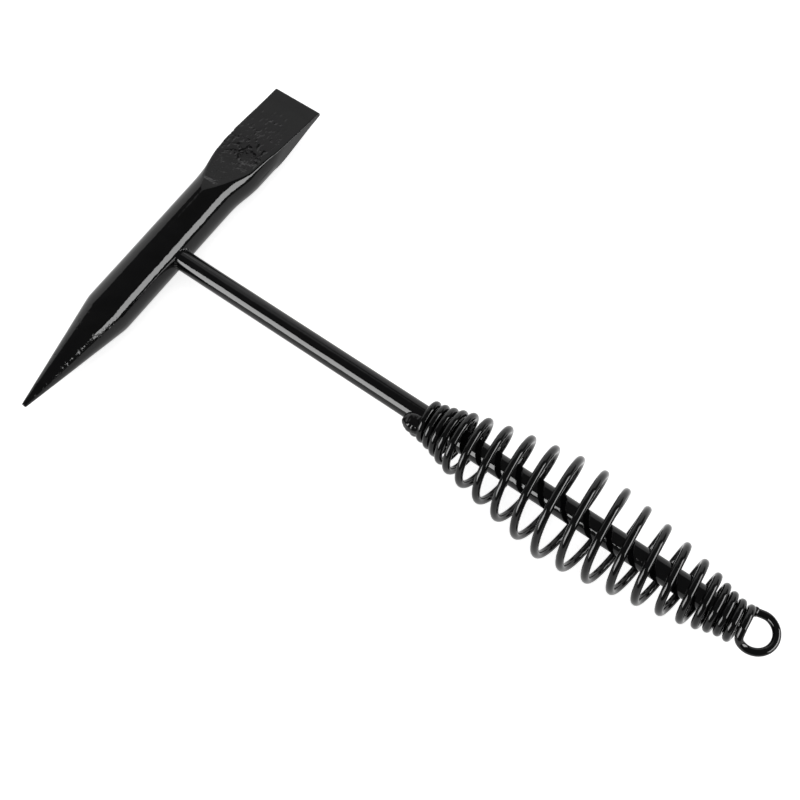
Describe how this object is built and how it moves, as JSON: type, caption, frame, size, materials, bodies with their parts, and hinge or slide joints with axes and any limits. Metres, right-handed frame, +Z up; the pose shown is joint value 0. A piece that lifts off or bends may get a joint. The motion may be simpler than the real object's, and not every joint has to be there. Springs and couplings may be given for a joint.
{
  "type": "welding chipping hammer",
  "caption": "Slag hammer with a conical point and flat chisel on a crosswise head, a round steel shank, and a barrel-shaped coil spring grip whose wire ends in a hanging loop.",
  "frame": {"origin": "on the surface the hammer lies on, under the middle of its bounding box", "axes": "+X along the shank from the head towards the hanging loop, +Y along the head towards the chisel, +Z up; the hammer lies on its side, resting on its head bar and its widest coil"},
  "size_m": [0.2969, 0.1756, 0.0412],
  "materials": {
    "head_enamel": "glossy black enamel over forged steel",
    "shank_enamel": "glossy black enamel over drawn steel rod",
    "wire_enamel": "glossy black enamel over spring steel wire",
    "weld_enamel": "glossy black enamel over weld metal"
  },
  "bodies": {
    "root": {"head": "head_enamel", "shank": "shank_enamel", "grip_spring": "wire_enamel", "head_weld": "weld_enamel", "front_spring_weld": "weld_enamel", "rear_spring_weld": "weld_enamel", "loop_weld": "weld_enamel"}
  },
  "joints": []
}
